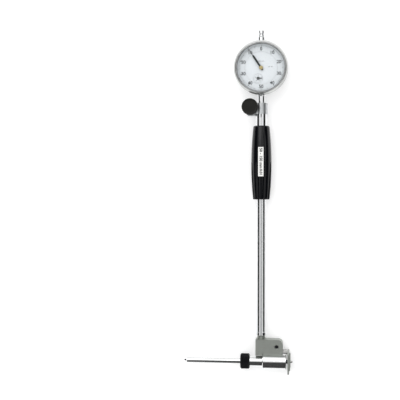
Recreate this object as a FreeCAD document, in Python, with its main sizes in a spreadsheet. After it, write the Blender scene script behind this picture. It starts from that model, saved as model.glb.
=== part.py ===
import FreeCAD, Part
import math
import os
import Sketcher
from FreeCAD import Placement, Rotation, Vector

# A dial bore gauge lying on its back, dial face up. Millimetres, +Z up.
# Origin: centre of the dial indicator's flat back. The tube's axis runs along -Y,
# axis_height above the back, and the measuring axis lies along X at the tube's far end.

SIZES = {
    # dial indicator
    "axis_height": 11, "case_diameter": 50, "case_wall": 2, "cover_thickness": 2,
    "rim_chamfer": 0.6, "screw_head_diameter": 4.2, "screw_diameter": 2.2, "screw_sink": 1,
    "screw_slot": 0.6, "screw_inset": 3,
    "web_height": 16.2, "web_thickness": 1, "bezel_diameter": 55, "bezel_back": 15.5,
    "bezel_front": 24.6, "opening_diameter": 48.4, "shoulder_height": 17.9,
    "crystal_seat": 21.4, "crystal_thickness": 1.4, "crystal_rise": 0.6, "crystal_bevel": 1.2,
    "dial_diameter": 32.8, "dial_thickness": 0.5, "scale_thickness": 0.4,
    "stem_diameter": 8, "stem_length": 22, "bushing_diameter": 7.2, "bushing_length": 7.3,
    "spindle_diameter": 4, "cap_diameter": 6.2, "cap_length": 7.1, "contact_reach": 14.6,
    # gear train
    "tooth_module": 0.2, "wheel_teeth": 100, "pinion_teeth": 10, "rack_pinion_teeth": 16,
    "wheel_height": 14.5, "wheel_thickness": 0.6, "arbor_diameter": 1,
    "bridge_height": 13.4, "bridge_thickness": 0.6, "bridge_diameter": 43,
    "rear_bridge_height": 6.4, "rear_bridge_thickness": 0.8, "rear_bridge_edge": 1.6,
    "rear_post_diameter": 2.4, "hairspring_height": 11.2, "hairspring_wall": 0.14,
    "counter_back": 3, "rack_pitch": 0.625, "rack_length": 16,
    "rack_pinion_height": 9.8, "rack_pinion_width": 2.4,
    "pillar_diameter": 2.6, "guide_width": 2.4, "guide_length": 13, "rack_pin_diameter": 1.2,
    "rack_pin_up": 8, "rack_pin_seat": 0.8, "return_spring_wire": 0.4,
    "pointer_height": 19.3, "pointer_length": 22.6, "pointer_thickness": 0.4,
    "counter_pointer_height": 18.4, "counter_pointer_length": 4.6,
    "hairspring_diameter": 8.4, "hairspring_width": 1, "return_spring_diameter": 2.2,
    "return_spring_reach": 14,
    # clamp and neck
    "neck_diameter": 11.8, "collet_wall": 0.8, "slit_width": 1,
    "slit_end": 50, "clamp_diameter": 12.6, "clamp_top": 35.3, "clamp_length": 11.3,
    "clamp_ear": 15.5, "clamp_depth": 11, "clamp_gap": 1.2, "ear_drop": 1.6,
    "knob_diameter": 16.8, "knob_height": 6.4, "knob_offset": 11.3, "knob_down": 39.4,
    "stud_diameter": 4,
    # grip
    "grip_top": 58.4, "grip_length": 75.2, "belly_diameter": 20.8,
    "grip_end_diameter": 16.8, "flute_count": 8, "flute_diameter": 4.4, "flute_depth": 0.5,
    "flute_end_depth": 1.7, "shoulder_round": 1.6,
    "label_depth": 0.45, "label_width": 5.4, "label_length": 29.7, "label_thickness": 0.3,
    "label_top": 80.4,
    # tube and push rod
    "tube_diameter": 10, "tube_wall": 1.2, "neck_depth": 16, "push_rod_diameter": 3,
    "bush_length": 8, "spring_length": 30, "spring_diameter": 5.4, "spring_wire": 0.7,
    "collar_diameter": 10.5, "collar_length": 3.7, "grub_diameter": 3, "grub_angle": 34,
    # head
    "measuring_down": 300, "bracket_left": 5.5, "bracket_right": 22.1, "bracket_top": 23.3,
    "bracket_thickness": 14, "bracket_corner": 5, "saddle_edge": 9.2, "tail_edge": 7,
    "head_neck_diameter": 8.4, "head_neck_length": 3.6, "groove_width": 1.5,
    "spigot_length": 8,
    "lever_arm": 16, "lever_thickness": 3, "lever_depth": 3.6, "lever_ball": 3,
    "pivot_diameter": 3, "barrel_diameter": 16.8, "barrel_start": 1.4, "barrel_length": 24.2,
    "barrel_bore": 7.1, "plunger_neck": 4, "contact_end": 32.2, "bush_wall": 2,
    "guide_back": 27.2, "guide_thickness": 1.4, "guide_height": 23.6, "guide_nose": 1.2,
    "guide_corner": 3, "rib_inset": 2.6, "rib_length": 15, "tip_diameter": 2.5,
    "guide_press": 1.2, "guide_pin_diameter": 3, "guide_pin_offset": 4.6, "guide_pin_up": 10.4,
    "guide_pin_seat": 12, "guide_spring_length": 6, "guide_spring_wire": 0.35, "socket_diameter": 11.2,
    "socket_length": 13.3, "socket_thread": 8, "rod_diameter": 6, "rod_end": 77.5,
    "rod_seat": 13.5, "rod_tip_length": 2.2, "rod_tip_diameter": 2.4, "nut_diameter": 15.7,
    "nut_length": 9.3, "nut_chamfer": 1,
    # clearances
    "running_gap": 0.05, "touch_gap": 0.02, "free_gap": 0.3,
}

doc = FreeCAD.newDocument("dial_bore_gauge")
sheet = doc.addObject("Spreadsheet::Sheet", "Sizes")
for row, (alias, number) in enumerate(SIZES.items(), 1):
    sheet.set("A%d" % row, alias)
    sheet.set("B%d" % row, str(number))
    sheet.setAlias("B%d" % row, alias)
doc.recompute()


class Size:
    """A length together with the spreadsheet expression that gives it."""

    def __init__(self, value, text):
        self.value, self.text = float(value), text

    def __add__(self, other):
        other = as_size(other)
        return Size(self.value + other.value, "(%s + %s)" % (self.text, other.text))

    def __sub__(self, other):
        other = as_size(other)
        return Size(self.value - other.value, "(%s - %s)" % (self.text, other.text))

    def __mul__(self, other):
        other = as_size(other)
        return Size(self.value * other.value, "(%s * %s)" % (self.text, other.text))

    def __truediv__(self, other):
        other = as_size(other)
        return Size(self.value / other.value, "(%s / %s)" % (self.text, other.text))

    def __neg__(self):
        return Size(-self.value, "(0 - %s)" % self.text)

    def __radd__(self, other):
        return as_size(other) + self

    def __rsub__(self, other):
        return as_size(other) - self

    def __rmul__(self, other):
        return as_size(other) * self


def as_size(number):
    return number if isinstance(number, Size) else Size(number, repr(float(number)))


class Sheet:
    """The sheet's cells by name: d.tube_wall is the Size of the cell tube_wall."""

    def __getattr__(self, alias):
        return Size(SIZES[alias], "Sizes." + alias)


d = Sheet()
PARTS = []
ALONG = {"Z": Rotation(), "X": Rotation(Vector(0, 1, 0), 90), "Y": Rotation(Vector(1, 0, 0), -90)}


def put(thing, at, turn=Rotation()):
    """Place an object, its three coordinates bound to the sheet."""
    at = [as_size(c) for c in at]
    thing.Placement = Placement(Vector(*[c.value for c in at]), turn)
    for axis, size in zip("xyz", at):
        thing.setExpression("Placement.Base.%s" % axis, size.text)


def bind(thing, **sizes):
    for name, size in sizes.items():
        size = as_size(size)
        setattr(thing, name, size.value)
        thing.setExpression(name, size.text)


def named(thing, label):
    thing.Label = label
    PARTS.append(thing)
    return thing


def plane_of(body, role):
    return next(o for o in body.Origin.OriginFeatures if o.Role == role)


def sketch_on(body, role, points, arcs=None):
    """A closed outline on an origin plane; arcs maps a side's number to its radius."""
    sketch = body.newObject("Sketcher::SketchObject", body.Name + "_outline")
    sketch.AttachmentSupport = (plane_of(body, role), [""])
    sketch.MapMode = "FlatFace"
    arcs = arcs or {}
    points = [(as_size(x), as_size(y)) for x, y in points]
    spots = [Vector(x.value, y.value, 0) for x, y in points]
    count = len(spots)
    ends = []
    for i, start in enumerate(spots):
        end = spots[(i + 1) % count]
        if i in arcs:
            radius = abs(as_size(arcs[i]).value)
            half = (end - start) / 2
            side = Vector(-half.y, half.x, 0).normalize()
            rise = math.sqrt(radius ** 2 - half.Length ** 2)
            outward = as_size(arcs[i]).value > 0
            centre = start + half + side * (rise if outward else -rise)
            first, last = (start, end) if outward else (end, start)
            angles = [math.atan2(p.y - centre.y, p.x - centre.x) for p in (first, last)]
            circle = Part.Circle(centre, Vector(0, 0, 1), radius)
            sketch.addGeometry(Part.ArcOfCircle(circle, *angles), False)
            ends.append((1, 2) if outward else (2, 1))
        else:
            sketch.addGeometry(Part.LineSegment(start, end), False)
            ends.append((1, 2))
    for i in range(count):
        after = (i + 1) % count
        sketch.addConstraint(Sketcher.Constraint("Coincident", i, ends[i][1], after, ends[after][0]))
    for i, (x, y) in enumerate(points):
        for kind, size, axis in (("DistanceX", x, -2), ("DistanceY", y, -1)):
            if size.value == 0:
                sketch.addConstraint(Sketcher.Constraint("PointOnObject", i, ends[i][0], axis))
                continue
            pin = Sketcher.Constraint(kind, -1, 1, i, ends[i][0], size.value)
            sketch.setExpression("Constraints[%d]" % sketch.addConstraint(pin), size.text)
    for i, radius in arcs.items():
        size = as_size(radius)
        size = size if size.value > 0 else -size
        pin = Sketcher.Constraint("Radius", i, size.value)
        sketch.setExpression("Constraints[%d]" % sketch.addConstraint(pin), size.text)
    return sketch


def turned(label, outline, at, along="Y", arcs=None):
    """A lathe-turned piece from (radius, station) points; along is the axis it turns round."""
    body = named(doc.addObject("PartDesign::Body", label), label)
    if along == "X":
        outline = [(station, radius) for radius, station in outline]
    profile = sketch_on(body, "XZ_Plane" if along == "Z" else "XY_Plane", outline, arcs)
    turning = body.newObject("PartDesign::Revolution", label + "_turning")
    turning.Profile = profile
    turning.ReferenceAxis = (profile, ["H_Axis" if along == "X" else "V_Axis"])
    turning.Angle = 360
    put(body, at)
    return body


def plate(label, outline, thickness, at, arcs=None, both_ways=True, role="XY_Plane"):
    """A flat piece padded from an outline, across its plane or up from it."""
    body = named(doc.addObject("PartDesign::Body", label), label)
    pad = body.newObject("PartDesign::Pad", label + "_pad")
    pad.Profile = sketch_on(body, role, outline, arcs)
    bind(pad, Length=thickness)
    pad.Midplane = both_ways
    put(body, at)
    return body


def feature(body, kind, at, along="Z", **sizes):
    """An additive or subtractive primitive in a body; along turns its own Z axis."""
    step = body.newObject("PartDesign::" + kind, "%s_%s" % (body.Name, kind))
    bind(step, **sizes)
    put(step, at, ALONG[along] if isinstance(along, str) else along)
    return step


def drill(body, radius, depth, at, along="Z"):
    return feature(body, "SubtractiveCylinder", at, along, Radius=radius, Height=depth)


def slot_box(body, low, size):
    return feature(body, "SubtractiveBox", low, Length=size[0], Width=size[1], Height=size[2])


def repeated(body, steps, count, role="Y_Axis"):
    pattern = body.newObject("PartDesign::PolarPattern", body.Name + "_pattern")
    pattern.Originals = steps
    pattern.Axis = (plane_of(body, role), [""])
    pattern.Angle = 360
    pattern.Occurrences = int(count.value)
    pattern.setExpression("Occurrences", count.text)
    body.Tip = pattern
    return pattern


def eased(body, kind, size, chosen):
    """A fillet or chamfer on the tip's edges that chosen(edge) picks."""
    doc.recompute()
    tip = body.Tip
    names = ["Edge%d" % i for i, edge in enumerate(tip.Shape.Edges, 1) if chosen(edge)]
    step = body.newObject("PartDesign::" + kind, "%s_%s" % (body.Name, kind))
    step.Base = (tip, names)
    bind(step, **{"Radius" if kind == "Fillet" else "Size": size})
    return step


def rod(label, radius, length, at, along="Z"):
    piece = named(doc.addObject("Part::Cylinder", label), label)
    bind(piece, Radius=radius, Height=length)
    put(piece, at, ALONG[along])
    return piece


def ring(label, outer, inner, length, at, along="Y"):
    outline = [(inner, 0), (outer, 0), (outer, length), (inner, length)]
    return turned(label, outline, at, along)


def shaped(label, shape, at=(0, 0, 0), turn=Rotation()):
    piece = named(doc.addObject("Part::Feature", label), label)
    piece.Shape = shape
    put(piece, at, turn)
    return piece


def group(label, shapes):
    return shaped(label, Part.makeCompound(shapes))


def root_of(size):
    return Size(math.sqrt(size.value), "sqrt(%s)" % size.text)


def arc_radius(half_chord, rise):
    """Radius of the arc that rises so much over so long a half chord."""
    return (half_chord * half_chord + rise * rise) / (2 * rise)


def gear_shape(teeth, module, height, bore, phase):
    """A spur gear standing on Z = 0, one tooth's centre at the angle phase."""
    pitch = 2 * math.pi / teeth
    tip, foot = (teeth / 2 + 0.8) * module, (teeth / 2 - 1.15) * module
    points = []
    for tooth in range(teeth):
        middle = phase + tooth * pitch
        for radius, share in ((foot, -0.27), (tip, -0.12), (tip, 0.12), (foot, 0.27)):
            angle = middle + share * pitch
            points.append(Vector(radius * math.cos(angle), radius * math.sin(angle), 0))
    blank = Part.Face(Part.makePolygon(points + points[:1])).extrude(Vector(0, 0, height))
    return blank.cut(Part.makeCylinder(bore, height)) if bore else blank


def meshed_phase(teeth, direction, other_teeth, other_phase):
    """Phase of a gear lying in a direction from another one, so that their teeth mesh."""
    pitch = 2 * math.pi / other_teeth
    gaps = (direction - other_phase) / pitch - 0.5
    offset = (round(gaps) - gaps) * pitch
    return direction + math.pi - offset * other_teeth / teeth


def coil(radius, wire, length, turns, at=Vector(), turn=Rotation()):
    """An open coil spring of square wire along +Z, in short straight lengths."""
    half, sides = wire / 2, 12
    count = turns * sides
    loops = []
    for step in range(count + 1):
        angle = 2 * math.pi * step / sides
        rise = half + (length - wire) * step / count
        loop = []
        for out, up in ((-half, -half), (half, -half), (half, half), (-half, half)):
            reach = radius + out
            spot = Vector(reach * math.cos(angle), reach * math.sin(angle), rise + up)
            loop.append(turn.multVec(spot) + at)
        loops.append(loop)
    outlines = [loops[0], loops[-1]]
    for near, far in zip(loops, loops[1:]):
        for i in range(4):
            j = (i + 1) % 4
            outlines += [(near[i], near[j], far[j]), (near[i], far[j], far[i])]
    faces = [Part.Face(Part.makePolygon([*outline, outline[0]])) for outline in outlines]
    spring = Part.Solid(Part.Shell(faces))
    return spring if spring.Volume > 0 else spring.reversed()


axis = d.axis_height
ON_AXIS = (0, 0, axis)


# --- dial indicator: case, stem and back -----------------------------------------------------

case_radius = d.case_diameter / 2
bore_radius = case_radius - d.case_wall
web_top = d.web_height + d.web_thickness
arbor = d.arbor_diameter / 2
arbor_hole = arbor + d.running_gap
wheel_reach = (d.wheel_teeth + d.pinion_teeth) * d.tooth_module / 2
counter_down = root_of(wheel_reach * wheel_reach - d.counter_back * d.counter_back)
COUNTER = (-d.counter_back, -counter_down)
HAIRSPRING_ANGLE = math.radians(50)
HAIRSPRING = (wheel_reach * math.cos(HAIRSPRING_ANGLE), wheel_reach * math.sin(HAIRSPRING_ANGLE))


def indicator_case():
    outline = [
        (arbor_hole, d.web_height), (bore_radius, d.web_height), (bore_radius, d.cover_thickness),
        (case_radius, d.cover_thickness), (case_radius, web_top), (arbor_hole, web_top),
    ]
    case = turned("indicator_case", outline, (0, 0, 0), "Z")
    for x, y in (COUNTER, HAIRSPRING):
        drill(case, arbor_hole, d.web_thickness, (x, y, d.web_height))
    drill(case, d.stem_diameter / 2, case_radius, (0, -case_radius, axis), "Y")
    drill(case, d.bushing_diameter / 2 - 0.6, case_radius, (0, 0, axis), "Y")


def back_cover():
    """The flat back, held by four flat-headed screws sunk flush into it."""
    rim, seat = case_radius - d.rim_chamfer, d.cover_thickness
    outline = [(0, 0), (rim, 0), (case_radius, d.rim_chamfer), (case_radius, seat), (0, seat)]
    cover = turned("back_cover", outline, (0, 0, 0), "Z")
    head, shank, sink = d.screw_head_diameter / 2, d.screw_diameter / 2, d.screw_sink
    cone = Part.makeCone(head.value, shank.value, sink.value)
    screw = cone.fuse(Part.makeCylinder(shank.value, seat.value, Vector()))
    width = d.screw_slot.value
    screw = screw.removeSplitter().cut(Part.makeBox(2 * head.value, width, width,
                                                    Vector(-head.value, -width / 2, 0)))
    screws = []
    for turn in (45, 135, 225, 315):
        across, up = math.cos(math.radians(turn)), math.sin(math.radians(turn))
        x, y = (bore_radius - d.screw_inset) * across, (bore_radius - d.screw_inset) * up
        feature(cover, "SubtractiveCone", (x, y, 0), Radius1=head, Radius2=shank, Height=sink)
        drill(cover, shank, seat - sink, (x, y, sink))
        screws.append(screw.translated(Vector(x.value, y.value, 0)))
    group("cover_screws", screws)


def stem_and_bushing():
    """The clamping stem below the case and the guide bushing above it."""
    bore = d.spindle_diameter / 2 + d.running_gap
    stem, shoulder = d.stem_diameter / 2, d.stem_diameter / 2 + 0.3
    inside = bore_radius - 0.4
    foot = case_radius + d.stem_length
    turned("stem", [
        (bore, -inside), (stem, -inside), (stem, -case_radius), (shoulder, -case_radius),
        (shoulder, -(case_radius + 2.6)), (stem, -(case_radius + 3)), (stem, -(foot - 0.6)),
        (stem - 0.6, -foot), (bore, -foot),
    ], ON_AXIS)
    collar, tail = d.bushing_diameter / 2, d.bushing_diameter / 2 - 0.6
    top = case_radius + d.bushing_length
    turned("upper_bushing", [
        (bore, inside), (tail, inside), (tail, case_radius), (collar, case_radius),
        (collar, top - 0.5), (collar - 0.5, top), (bore, top),
    ], ON_AXIS)


indicator_case()
back_cover()
stem_and_bushing()


# --- dial indicator: movement ----------------------------------------------------------------

bridge_top = d.bridge_height + d.bridge_thickness
rack_radius = d.rack_pinion_teeth * d.rack_pitch / (2 * math.pi)
PILLARS = ((-13, 7), (13, -9), (0, 19.2))
rear_posts = ((-9.6, -counter_down), (5.6, -counter_down))
guide_x = -(d.spindle_diameter / 2 + 1.6)
pin_up = d.rack_pin_up
return_spring_reach = d.return_spring_reach
hairspring_low = d.hairspring_height
spring_x = guide_x - d.guide_width - d.return_spring_diameter / 2 - 0.4


def bridges():
    """Two brass bridges that carry the arbors' back pivots, with their pillars."""
    front = turned("front_bridge", [
        (arbor_hole, d.bridge_height), (d.bridge_diameter / 2, d.bridge_height),
        (d.bridge_diameter / 2, bridge_top), (arbor_hole, bridge_top),
    ], (0, 0, 0), "Z")
    for x, y in (COUNTER, HAIRSPRING):
        drill(front, arbor_hole, d.bridge_thickness, (x, y, d.bridge_height))
    pillar = d.pillar_diameter.value / 2
    length = d.web_height.value - bridge_top.value
    group("bridge_pillars", [
        Part.makeCylinder(pillar, length, Vector(x, y, bridge_top.value)) for x, y in PILLARS])
    (left, _), (right, _) = rear_posts
    edge, thickness = d.rear_bridge_edge, d.rear_bridge_thickness
    rear = plate("rear_bridge", [
        (left - edge, -edge), (right + edge, -edge), (right + edge, edge), (left - edge, edge),
    ], thickness, (0, -counter_down, d.rear_bridge_height), both_ways=False)
    drill(rear, arbor_hole, thickness, (-d.counter_back, 0, 0))
    low, radius = (d.rear_bridge_height + thickness).value, d.rear_post_diameter.value / 2
    group("rear_posts", [
        Part.makeCylinder(radius, d.bridge_height.value - low, Vector(x, y.value, low))
        for x, y in rear_posts])


def rack_guide():
    """The slotted rail that keeps the spindle from turning, and the spring's anchor post."""
    low = axis - d.rack_pin_diameter / 2 - 1.4
    start = pin_up - 4
    rail = plate("rack_guide", [
        (guide_x - d.guide_width, start), (guide_x, start),
        (guide_x, start + d.guide_length), (guide_x - d.guide_width, start + d.guide_length),
    ], d.bridge_height - low, (0, 0, low), both_ways=False)
    slot = d.rack_pin_diameter / 2 + d.running_gap
    slot_box(rail, (guide_x - d.guide_width, pin_up - 2.5, axis - low - slot),
             (d.guide_width, d.guide_length - 3, 2 * slot))
    post = d.rack_pin_diameter / 2
    rod("spring_post", post, d.bridge_height - axis + 2 * post,
        (spring_x, pin_up - return_spring_reach - post, axis - 2 * post))


bridges()
rack_guide()


# --- dial indicator: gear train --------------------------------------------------------------

counter_angle = math.atan2(COUNTER[1].value, COUNTER[0].value)
module = d.tooth_module.value
wheel, pinion, rack_pinion = (int(SIZES[n]) for n in ("wheel_teeth", "pinion_teeth", "rack_pinion_teeth"))
pinion_phase = counter_angle + math.pi / pinion


def arbor_shape(low, high):
    return Part.makeCylinder(arbor.value, high.value - low.value, Vector(0, 0, low.value))


def gear_train():
    """Rack pinion and wheel on the counter arbor, centre pinion, and the hairspring's wheel."""
    wheel_size = (wheel, module, d.wheel_thickness.value, arbor.value)
    low = d.wheel_height.value
    shapes = gear_shape(rack_pinion, 2 * rack_radius.value / rack_pinion, d.rack_pinion_width.value,
                        0, math.pi / rack_pinion)
    shapes = shapes.translated(Vector(0, 0, d.rack_pinion_height.value))
    post = arbor_shape(d.rear_bridge_height, d.counter_pointer_height + 0.5)
    shaped("counter_arbor", post.fuse(shapes).removeSplitter(), (*COUNTER, 0))
    phase = meshed_phase(wheel, counter_angle, pinion, pinion_phase)
    shaped("counter_wheel", gear_shape(*wheel_size, phase), (*COUNTER, d.wheel_height))
    small = gear_shape(pinion, module, d.wheel_thickness.value + 0.4, 0, pinion_phase)
    small = small.translated(Vector(0, 0, low - 0.2))
    post = arbor_shape(d.bridge_height, d.pointer_height + d.pointer_thickness + 0.6)
    shaped("centre_arbor", post.fuse(small).removeSplitter())
    phase = meshed_phase(wheel, HAIRSPRING_ANGLE, pinion, pinion_phase)
    shaped("hairspring_wheel", gear_shape(*wheel_size, phase), (*HAIRSPRING, d.wheel_height))
    rod("hairspring_arbor", arbor, web_top - hairspring_low, (*HAIRSPRING, hairspring_low))


def hairspring():
    """A flat spiral from its arbor out to a stud under the front bridge."""
    turns, steps, wall = 4, 18, d.hairspring_wall.value
    inner, outer = arbor.value + wall, d.hairspring_diameter.value / 2
    count = turns * steps
    sides = []
    for offset in (-wall / 2, wall / 2):
        sides.append([])
        for step in range(count + 1):
            radius = inner + (outer - inner) * step / count + offset
            angle = 2 * math.pi * step / steps
            sides[-1].append(Vector(radius * math.cos(angle), radius * math.sin(angle), 0))
    loop = sides[0] + sides[1][::-1]
    height = Vector(0, 0, d.hairspring_width.value)
    shaped("hairspring", Part.Face(Part.makePolygon(loop + loop[:1])).extrude(height),
           (*HAIRSPRING, hairspring_low + 0.3))
    rod("hairspring_stud", 0.5, d.bridge_height - hairspring_low - 0.3,
        (HAIRSPRING[0] + outer + 0.5 + wall / 2, HAIRSPRING[1], hairspring_low + 0.3))


def spindle():
    """The spindle with its rack cut in one side, cap, contact point and cross pin."""
    radius = d.spindle_diameter / 2
    top = case_radius + d.bushing_length + d.touch_gap
    cap_start = top + 0.1
    thread = radius - 0.5
    foot = case_radius + d.stem_length + 9
    body = turned("spindle", [
        (0, -foot), (radius, -foot), (radius, cap_start), (thread, cap_start),
        (thread, cap_start + 5), (0, cap_start + 5),
    ], ON_AXIS)
    drill(body, d.rack_pin_diameter / 2, d.rack_pin_seat, (-radius, pin_up, 0), "X")
    module_here = d.rack_pitch / math.pi
    pitch_line = rack_radius - d.counter_back
    tip, foot_line = pitch_line - 0.8 * module_here, pitch_line + 1.15 * module_here
    count = int(d.rack_length.value / d.rack_pitch.value)
    start = -counter_down - d.rack_pitch * count / 2
    slot_box(body, (-radius, start, -radius), (radius + tip, d.rack_pitch * count, 2 * radius))
    space = body.newObject("PartDesign::Pocket", "rack_space")
    middle = start + d.rack_pitch * 1.5 + (count // 2 - count / 2) * d.rack_pitch
    half_mouth, half_floor = d.rack_pitch * 0.38, d.rack_pitch * 0.23
    space.Profile = sketch_on(body, "XY_Plane", [
        (tip, middle - half_mouth), (tip, middle + half_mouth),
        (foot_line, middle + half_floor), (foot_line, middle - half_floor)])
    bind(space, Length=2 * d.spindle_diameter)
    space.Midplane = True
    row = body.newObject("PartDesign::LinearPattern", "rack_teeth")
    row.Originals = [space]
    row.Direction = (plane_of(body, "Y_Axis"), [""])
    row.Occurrences = count - 2
    bind(row, Length=d.rack_pitch * (count - 3))
    body.Tip = row
    cap = d.cap_diameter / 2
    turned("spindle_cap", [
        (thread, cap_start), (cap - 0.5, cap_start), (cap, cap_start + 0.5),
        (cap, cap_start + 1.6), (cap - 0.5, cap_start + 2.1), (cap - 0.5, cap_start + 2.9),
        (cap, cap_start + 3.4), (cap, cap_start + d.cap_length - 1.2),
        (cap - 1.2, cap_start + d.cap_length), (0, cap_start + d.cap_length),
        (0, cap_start + 5), (thread, cap_start + 5),
    ], ON_AXIS)
    ball = as_size(1.5)
    end = case_radius + d.contact_reach + d.stem_length
    turned("contact_point", [
        (0, -end), (ball, -(end - ball)), (ball, -(foot + 1.2)), (radius, -(foot + 0.8)),
        (radius, -foot), (0, -foot),
    ], ON_AXIS, arcs={0: 1.5})
    outer = spring_x - d.rack_pin_diameter / 2
    rod("rack_pin", d.rack_pin_diameter / 2, d.rack_pin_seat - radius - outer, (outer, pin_up, axis), "X")


def return_spring():
    """The light tension spring from the spindle's pin down to its post."""
    wire = d.return_spring_wire.value
    radius = (d.return_spring_diameter.value - wire) / 2
    low, high = pin_up - return_spring_reach, pin_up - d.rack_pin_diameter / 2
    shaped("return_spring", coil(radius, wire, high.value - low.value, 7), (spring_x, low, axis),
           ALONG["Y"])


gear_train()
hairspring()
spindle()
return_spring()


# --- dial indicator: dial, pointers, bezel and crystal ---------------------------------------

bezel_bore = case_radius + d.running_gap + 0.03
opening = d.opening_diameter / 2


def dial_plates():
    """A fixed inner dial and the scale ring that turns with the bezel."""
    radius = d.dial_diameter / 2
    inner = turned("inner_dial", [
        (arbor_hole + 0.4, web_top), (radius, web_top), (radius, web_top + d.dial_thickness),
        (arbor_hole + 0.4, web_top + d.dial_thickness),
    ], (0, 0, 0), "Z")
    drill(inner, arbor_hole + 0.4, d.dial_thickness, (*COUNTER, web_top))
    low = d.shoulder_height - d.scale_thickness
    ring("scale_ring", bezel_bore, radius + d.free_gap, d.scale_thickness, (0, 0, low), "Z")


def pointers():
    """The long pointer turned to its place of rest, and the small turn-counting one."""
    thick, length = d.pointer_thickness.value, d.pointer_length.value
    outline = [(-5.4, 0.75), (0, 0.85), (length * 0.62, 0.45), (length * 0.66, 0.14), (length, 0.08)]
    points = [Vector(x, y, 0) for x, y in outline] + [Vector(x, -y, 0) for x, y in outline[::-1]]
    blade = Part.Face(Part.makePolygon(points + points[:1])).extrude(Vector(0, 0, thick))
    boss = Part.makeCylinder(1.9, thick + 0.5).cut(Part.makeCylinder(arbor.value, thick + 0.5))
    blade = blade.fuse(boss).cut(Part.makeCylinder(arbor.value, thick + 0.5)).removeSplitter()
    shaped("main_pointer", blade, (0, 0, d.pointer_height), Rotation(Vector(0, 0, 1), POINTER_ANGLE))
    length = d.counter_pointer_length.value
    outline = [(-1.6, 0.4), (length * 0.7, 0.4), (length, 0.1)]
    points = [Vector(x, y, 0) for x, y in outline] + [Vector(x, -y, 0) for x, y in outline[::-1]]
    blade = Part.Face(Part.makePolygon(points + points[:1])).extrude(Vector(0, 0, 0.3))
    boss = Part.makeCylinder(1.5, 0.5)
    blade = blade.fuse(boss).cut(Part.makeCylinder(arbor.value, 0.5)).removeSplitter()
    shaped("counter_pointer", blade, (*COUNTER, d.counter_pointer_height))


def bezel():
    """The smooth turned bezel: it grips the case, carries the scale ring and the crystal."""
    radius = d.bezel_diameter / 2
    seat_top = d.crystal_seat + d.crystal_thickness
    groove = opening + 0.9
    turned("bezel", [
        (bezel_bore, d.bezel_back), (radius - 0.6, d.bezel_back), (radius, d.bezel_back + 0.6),
        (radius, d.bezel_back + 2.6), (radius - 0.5, d.bezel_back + 3.1),
        (radius - 0.5, d.bezel_back + 4.3), (radius, d.bezel_back + 4.8),
        (radius, d.bezel_front - 2), (radius - 1.4, d.bezel_front - 0.3),
        (radius - 2, d.bezel_front), (opening + 0.5, d.bezel_front),
        (opening, d.bezel_front - 0.6), (opening, seat_top), (groove, seat_top),
        (groove, d.crystal_seat), (opening, d.crystal_seat), (opening, d.shoulder_height),
        (bezel_bore, d.shoulder_height),
    ], (0, 0, 0), "Z")
    bevel = d.crystal_bevel
    turned("crystal", [
        (0, d.crystal_seat), (groove, d.crystal_seat), (groove, seat_top), (opening, seat_top),
        (opening - bevel, seat_top + d.crystal_rise), (0, seat_top + d.crystal_rise),
    ], (0, 0, 0), "Z")


POINTER_ANGLE = 90 + 33.4
dial_plates()
pointers()
bezel()


# --- holder: clamp, neck, grip and tube ------------------------------------------------------

neck = d.neck_diameter / 2
collet = d.stem_diameter / 2 + d.touch_gap + d.collet_wall
tube = d.tube_diameter / 2
tube_bore = tube - d.tube_wall
tube_top = d.grip_top + 1.6
neck_top = d.clamp_top + d.clamp_length
neck_foot = d.grip_top + d.neck_depth
grip_foot = d.grip_top + d.grip_length
HEAD_Y = -d.measuring_down
tube_end = d.measuring_down - d.bracket_top - d.head_neck_length - d.collar_length


def neck_sleeve():
    """The slit socket that takes the stem; its lower end holds the tube inside the grip."""
    bore = d.stem_diameter / 2 + d.touch_gap
    sleeve = turned("neck_sleeve", [
        (bore, -d.clamp_top), (collet, -d.clamp_top), (collet, -neck_top), (neck, -neck_top),
        (neck, -neck_foot), (tube, -neck_foot), (tube, -tube_top), (bore, -tube_top),
    ], ON_AXIS)
    half, length = d.slit_width / 2, d.slit_end - d.clamp_top
    for x, z, wide, deep in ((-half, -neck, d.slit_width, 2 * neck), (-neck, -half, 2 * neck, d.slit_width)):
        slot_box(sleeve, (x, -d.slit_end, z), (wide, length, deep))


def clamp():
    """The split band with two ears, and the knurled knob on its stud."""
    low = d.clamp_top + d.clamp_length
    foot, inner = low + d.ear_drop, -(neck + d.running_gap)
    band = plate("clamp_band", [
        (0, -d.clamp_top), (-d.clamp_ear, -d.clamp_top), (-d.clamp_ear, -(foot - 2)),
        (2 - d.clamp_ear, -foot), (inner, -foot), (inner, -low), (0, -low),
    ], d.clamp_depth, ON_AXIS)
    feature(band, "AdditiveCylinder", (0, -low, 0), "Y", Radius=d.clamp_diameter / 2, Height=d.clamp_length)
    drill(band, collet, d.clamp_length, (0, -low, 0), "Y")
    slot_box(band, (-d.clamp_ear, -foot, -d.clamp_gap / 2),
             (d.clamp_ear - collet / 2, foot - d.clamp_top, d.clamp_gap))
    hole = d.stud_diameter / 2 + d.running_gap
    drill(band, hole, d.clamp_depth, (-d.knob_offset, -d.knob_down, -d.clamp_depth / 2))
    radius, start = d.knob_diameter / 2, d.clamp_depth / 2 + d.touch_gap
    top = start + d.knob_height
    turned("clamp_knob", [
        (d.stud_diameter / 2, start), (radius - 3, start), (radius - 3, start + 0.8),
        (radius - 0.5, start + 0.8), (radius, start + 1.3), (radius, top - 0.8),
        (radius - 0.8, top), (radius - 2.2, top), (radius - 2.8, top - 0.4), (0, top - 0.4),
        (0, top - 1.6), (d.stud_diameter / 2, top - 1.6),
    ], (-d.knob_offset, -d.knob_down, axis), "Z")
    rod("clamp_stud", d.stud_diameter / 2, top - 1.6 + d.clamp_depth / 2 + 1,
        (-d.knob_offset, -d.knob_down, axis - d.clamp_depth / 2 - 1))


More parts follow.
